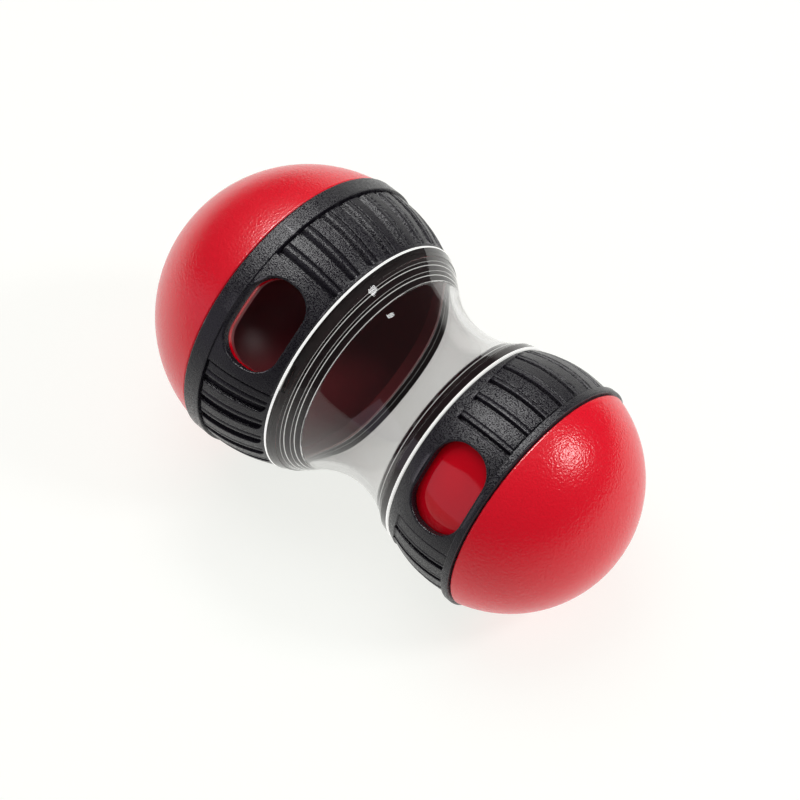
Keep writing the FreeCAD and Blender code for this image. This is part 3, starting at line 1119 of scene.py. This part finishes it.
# %% [markdown]
# The room is dark with a white wall behind the object. Soft light comes evenly from all round, which is
# the world's plain grey for rays that light a surface. What mirrors show is another matter: glossy and
# clear plastic see a dark room with the white wall in it, and that contrast draws their edges.

# %% World
WALL = (203, 0)
WALL_EDGE, WALL_FULL = 0.88, 0.97
DARK_ROOM = (0.06, 0.06, 0.06, 1)
SOFT_LIGHT = 0.38

world = bpy.data.worlds.new("studio")
bpy.context.scene.world = world
world.use_nodes = True
studio = Wiring(world.node_tree)
soft = studio.tree.nodes["Background"]
soft.inputs["Color"].default_value = (1, 1, 1, 1)
soft.inputs["Strength"].default_value = SOFT_LIGHT
heading = studio.add("ShaderNodeTexCoord").outputs["Generated"]
to_wall = studio.vector("DOT_PRODUCT", heading, direction_of(*WALL)).outputs["Value"]
room = studio.blend(studio.ramp(to_wall, WALL_EDGE, WALL_FULL), DARK_ROOM, WHITE)
mirrored = studio.add("ShaderNodeBackground")
studio.link(room, mirrored.inputs["Color"])
white = studio.add("ShaderNodeBackground", Color=WHITE)
rays = studio.add("ShaderNodeLightPath").outputs
bent = studio.combine("MAXIMUM", rays["Is Glossy Ray"], rays["Is Transmission Ray"])
surroundings = studio.either(bent, soft.outputs["Background"], mirrored.outputs["Background"])
surroundings = studio.either(rays["Is Camera Ray"], surroundings, white.outputs["Background"])
studio.link(surroundings, studio.tree.nodes["World Output"].inputs["Surface"])
print("world", len(studio.tree.nodes), "nodes")

# %% [markdown]
# The lamps stand in three places. The key is a soft box high on the right that puts the grainy highlight
# on the small dome. At the top, behind, one lamp lights the object softly, and a second one, the gleam,
# only shines on gloss and draws the black ribs. The card is a wide white panel low on the left: it shows
# as the pale patch on the red in the closed outlet, with a straight slanted upper edge, so it is tipped
# on its stand. A photographer hides lamps from clear things with flags. Here the key and the gleam pass
# over the clear body instead, and a small glint beside the key stands in for them, so that the clear
# plastic shows only fine reflections.

# %% A soft box
LOOK_AT = Vector((0, 0, 0.045))


def soft_box(name, place, size, radiance, tip=0.0, shift=(0.0, 0.0)):
    """A rectangular lamp a metre away that looks at the object, tipped and shifted in its own plane."""
    lamp = bpy.data.lights.new(name, "AREA")
    lamp.shape = "RECTANGLE"
    lamp.size, lamp.size_y = size
    lamp.energy = radiance * math.pi * size[0] * size[1]
    stand = bpy.data.objects.new(name, lamp)
    bpy.context.scene.collection.objects.link(stand)
    out = direction_of(*place)
    right = Vector((0, 0, 1)).cross(out).normalized()
    up = out.cross(right)
    angle = math.radians(tip)
    along = right * math.cos(angle) + up * math.sin(angle)
    above = up * math.cos(angle) - right * math.sin(angle)
    stand.location = LOOK_AT + out + along * shift[0] + above * shift[1]
    stand.rotation_mode = "QUATERNION"
    stand.rotation_quaternion = Matrix((along, above, out)).transposed().to_quaternion()
    stand.visible_transmission = False
    print(name, "at", [round(v, 2) for v in stand.location])
    return stand


def lights(lamp, state, piece):
    """The lamp then lights only that piece (INCLUDE), or everything but it (EXCLUDE)."""
    group = bpy.data.collections.new(lamp.name + "_pieces")
    group.objects.link(piece)
    group.collection_objects[0].light_linking.link_state = state
    lamp.light_linking.receiver_collection = group


# %% The lamps
KEY_PLACE = (122, 41)
TOP_PLACE = (252, 73)
CARD_PLACE = (-31, 26)
CARD_COLOUR = (1.0, 0.93, 1.12)

key = soft_box("key", KEY_PLACE, size=(0.2, 0.15), radiance=36.0)
lights(key, "EXCLUDE", clear_body)
glint = soft_box("glint", KEY_PLACE, size=(0.12, 0.08), radiance=12.0)
glint.visible_diffuse = False
lights(glint, "INCLUDE", clear_body)
top = soft_box("top", TOP_PLACE, size=(0.75, 0.75), radiance=2.4)
top.visible_glossy = False
gleam = soft_box("gleam", TOP_PLACE, size=(0.5, 0.5), radiance=34.0)
gleam.visible_diffuse = False
lights(gleam, "EXCLUDE", clear_body)
card = soft_box("card", CARD_PLACE, size=(1.3, 0.9), radiance=0.56, tip=31, shift=(-0.35, -0.35))
card.data.color = CARD_COLOUR

# %% [markdown]
# The camera stands where the photographer stood: well above the object and to its right, with a long
# lens. Its place is given by the point that it looks at, two angles and a distance.

# %% Camera
AIM = Vector((-0.00172, 0.00262, 0.03306))
CAMERA_PLACE = (43.08, 50.78)
CAMERA_DISTANCE = 0.640
SENSOR_WIDTH = 36
LENS = 98.48

camera_data = bpy.data.cameras.new("camera")
camera_data.sensor_width = SENSOR_WIDTH
camera_data.lens = LENS
camera = bpy.data.objects.new("camera", camera_data)
bpy.context.scene.collection.objects.link(camera)
back = direction_of(*CAMERA_PLACE)
camera.location = AIM + back * CAMERA_DISTANCE
camera.rotation_euler = (-back).to_track_quat("-Z", "Y").to_euler()
bpy.context.scene.camera = camera
bpy.context.scene.view_settings.view_transform = "Standard"
print("camera", [round(v, 3) for v in camera.location])
